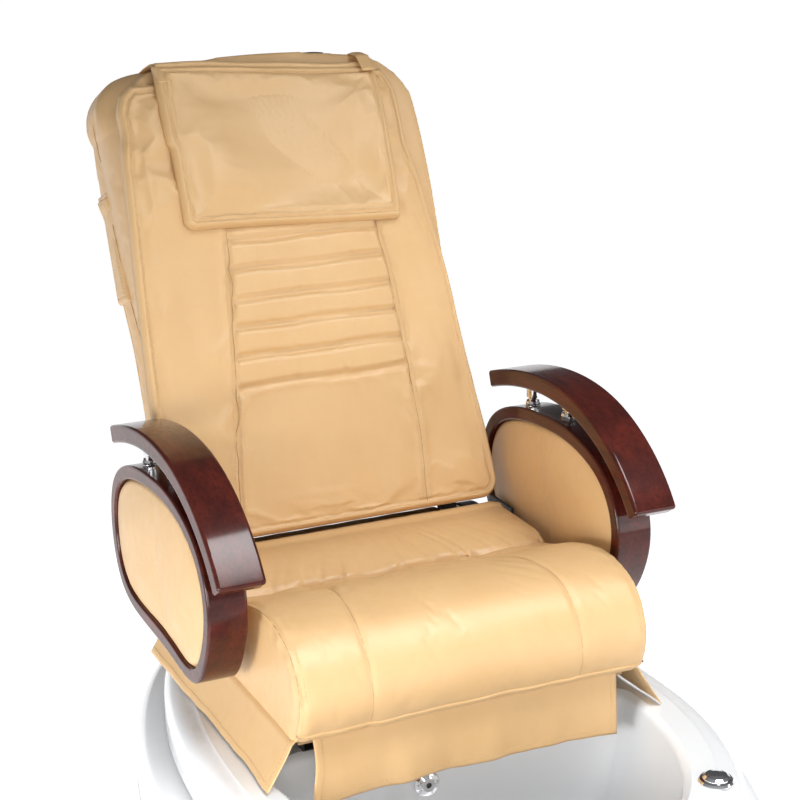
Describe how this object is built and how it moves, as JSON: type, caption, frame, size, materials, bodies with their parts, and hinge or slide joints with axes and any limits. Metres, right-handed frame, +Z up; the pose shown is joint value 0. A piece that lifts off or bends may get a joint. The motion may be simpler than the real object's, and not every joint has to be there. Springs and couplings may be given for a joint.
{
  "type": "pedicure spa chair",
  "caption": "Upholstered massage recliner with lift-up bentwood arms on a sliding seat over an oval foot-bath base with jets, tap, drain and footrest.",
  "frame": {"origin": "on the floor under the centre of the overall bounding box at rest", "axes": "+Z up; the sitter faces -Y; +X is the sitter's left"},
  "size_m": [0.89, 1.4544, 1.4186],
  "materials": {
    "leather": "satin",
    "mahogany": "gloss lacquer",
    "white_moulding": "gloss",
    "chrome": "polished",
    "black_steel": "satin black",
    "zinc_steel": "zinc plated",
    "black_plastic": "matt",
    "grey_pipe": "matt",
    "plywood": "raw",
    "rubber": "matt",
    "roller_plastic": "gloss"
  },
  "bodies": {
    "base": {"tub_moulding": "white_moulding", "lower_shell": "white_moulding", "rear_access_panel": "white_moulding", "access_panel_screws": "chrome", "chassis_frame": "black_steel", "levelling_feet": "rubber", "slide_rails_lower": "zinc_steel", "slide_actuator_body": "black_plastic", "pump_motor": "black_plastic", "pump_volute": "black_plastic", "pipework": "grey_pipe", "jet_faces": "chrome", "jet_bodies": "grey_pipe", "suction_cover": "chrome", "drain_flange": "chrome", "air_button_bezel": "chrome", "mixer_body": "chrome", "shower_socket": "chrome", "footrest_base": "chrome"},
    "seat": {"seat_frame": "black_steel", "seat_board": "plywood", "slide_rails_upper": "zinc_steel", "slide_actuator_rod": "zinc_steel", "recline_motor": "black_plastic", "arm_brackets": "black_steel", "seat_cushion": "leather", "front_skirt": "leather", "side_skirt_left": "leather", "side_skirt_right": "leather"},
    "backrest": {"back_frame": "black_steel", "back_body": "leather", "massage_rails": "zinc_steel", "back_pad": "leather", "head_pillow": "leather", "remote_pocket": "leather"},
    "arm_left": {"arm_ring_left": "mahogany", "arm_core_left": "plywood", "arm_pad_inner_left": "leather", "arm_pad_outer_left": "leather", "arm_cap_left": "mahogany", "arm_posts_left": "chrome"},
    "arm_right": {"arm_ring_right": "mahogany", "arm_core_right": "plywood", "arm_pad_inner_right": "leather", "arm_pad_outer_right": "leather", "arm_cap_right": "mahogany", "arm_posts_right": "chrome"},
    "recline_thrust_rod": {"recline_rod": "zinc_steel"},
    "carriage": {"massage_carriage": "black_plastic"},
    "rollers_upper": {"massage_rollers_upper": "roller_plastic"},
    "rollers_lower": {"massage_rollers_lower": "roller_plastic"},
    "push_button": {"air_button": "chrome"},
    "tap_stem": {"mixer_stem": "chrome"},
    "tap_lever": {"mixer_lever": "chrome"},
    "plug": {"drain_plug": "chrome"},
    "shower_head": {"hand_shower": "chrome"},
    "footrest": {"footrest_post": "chrome", "footrest_pad": "rubber"}
  },
  "joints": [
    {"name": "seat_slide", "type": "slide", "parent": "base", "child": "seat", "axis": [0, -1, 0], "range_m": [-0.08, 0.06]},
    {"name": "back_recline", "type": "hinge", "parent": "seat", "child": "backrest", "pos_m": [0, 0.29385, 0.566], "axis": [-1, 0, 0], "range_deg": [-8, 35]},
    {"name": "recline_rod_slide", "type": "slide", "parent": "seat", "child": "recline_thrust_rod", "axis": [0, -1, 0], "range_m": [-0.0095, 0.0405]},
    {"name": "arm_lift_left", "type": "hinge", "parent": "seat", "child": "arm_left", "pos_m": [0.33, 0.28585, 0.645], "axis": [-1, 0, 0], "range_deg": [0, 95]},
    {"name": "arm_lift_right", "type": "hinge", "parent": "seat", "child": "arm_right", "pos_m": [-0.33, 0.28585, 0.645], "axis": [-1, 0, 0], "range_deg": [0, 95]},
    {"name": "massage_lift", "type": "slide", "parent": "backrest", "child": "carriage", "axis": [0, 0.3584, 0.9336], "range_m": [-0.18, 0.15]},
    {"name": "knead_upper", "type": "hinge", "parent": "carriage", "child": "rollers_upper", "pos_m": [0, 0.43467, 1.04981], "axis": [1, 0, 0], "continuous": true},
    {"name": "knead_lower", "type": "hinge", "parent": "carriage", "child": "rollers_lower", "pos_m": [0, 0.3845, 0.91911], "axis": [1, 0, 0], "continuous": true},
    {"name": "air_button_press", "type": "slide", "parent": "base", "child": "push_button", "axis": [0, 0, -1], "range_m": [0, 0.003], "stiffness_N_per_m": 500, "springref_m": -0.004},
    {"name": "tap_turn", "type": "hinge", "parent": "base", "child": "tap_stem", "pos_m": [0, -0.61815, 0.536], "axis": [0, 0, 1], "range_deg": [-50, 50]},
    {"name": "tap_lift", "type": "hinge", "parent": "tap_stem", "child": "tap_lever", "pos_m": [0, -0.61815, 0.552], "axis": [-1, 0, 0], "range_deg": [0, 25]},
    {"name": "drain_plug_lift", "type": "slide", "parent": "base", "child": "plug", "axis": [0, 0, 1], "range_m": [-0.002, 0.012]},
    {"name": "hand_shower_lift", "type": "slide", "parent": "base", "child": "shower_head", "axis": [0, 0, 1], "range_m": [0, 0.08]},
    {"name": "footrest_height", "type": "slide", "parent": "base", "child": "footrest", "axis": [0, 0, 1], "range_m": [-0.015, 0.05]}
  ],
  "couplings": [
    {"joint": "recline_rod_slide", "follows": "back_recline", "m_per_rad": 0.0655},
    {"joint": "knead_lower", "follows": "knead_upper", "ratio": -1}
  ]
}
